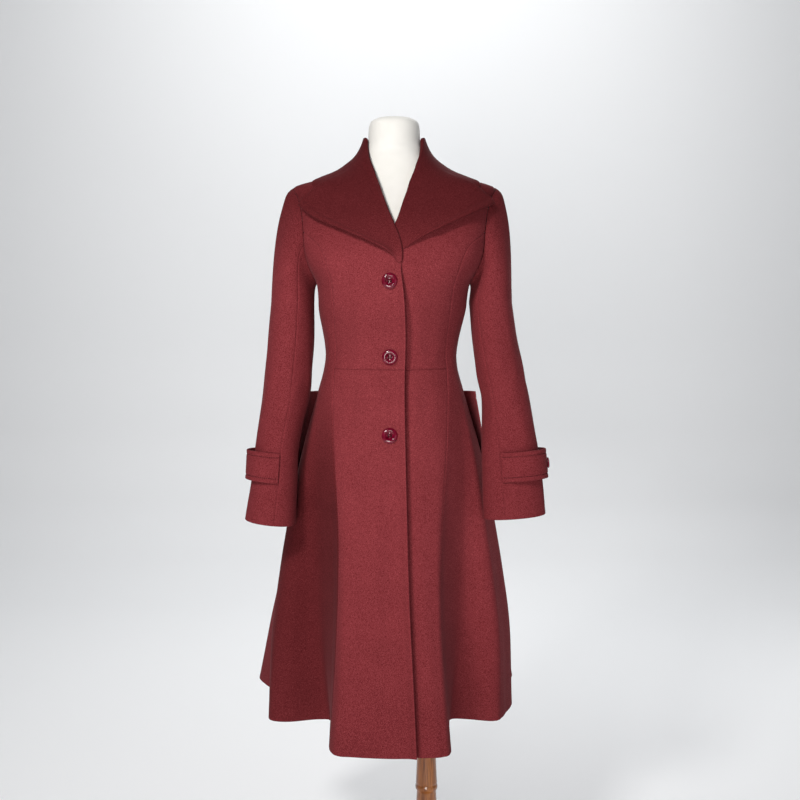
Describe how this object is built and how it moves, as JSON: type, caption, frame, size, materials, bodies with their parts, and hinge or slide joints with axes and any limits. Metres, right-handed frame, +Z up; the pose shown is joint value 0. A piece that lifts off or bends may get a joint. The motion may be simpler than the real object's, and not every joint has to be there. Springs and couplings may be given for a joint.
{
  "type": "cashmere coat on a dress form",
  "caption": "Fit-and-flare cashmere coat with a wide pointed collar, cuff straps and flared skirt, worn by a limbless dress form on a turned wooden stand.",
  "frame": {"origin": "centre of the stand's foot, on the floor", "axes": "+Z up along the stand's post, -Y out of the coat's front, +X to the wearer's left"},
  "size_m": [0.5598, 0.5297, 1.502],
  "materials": {
    "cashmere": "brushed wool nap",
    "button_horn": "polished",
    "form_jersey": "matt jersey",
    "varnished_wood": "varnished"
  },
  "bodies": {
    "root": {"skirt_front_right": "cashmere", "skirt_front_left": "cashmere", "bodice_front_right": "cashmere", "bodice_front_left": "cashmere", "side_front_right": "cashmere", "side_front_left": "cashmere", "side_back_right": "cashmere", "side_back_left": "cashmere", "back_right": "cashmere", "back_left": "cashmere", "sleeve_top_right": "cashmere", "sleeve_top_left": "cashmere", "sleeve_under_right": "cashmere", "sleeve_under_left": "cashmere", "collar_right": "cashmere", "collar_left": "cashmere", "collar_stand": "cashmere", "pocket_right": "cashmere", "pocket_left": "cashmere", "strap_right": "cashmere", "strap_left": "cashmere", "button_top": "button_horn", "button_middle": "button_horn", "button_low": "button_horn", "strap_button_right": "button_horn", "strap_button_left": "button_horn", "form_torso": "form_jersey", "stand_post": "varnished_wood", "stand_base": "varnished_wood"}
  },
  "joints": []
}
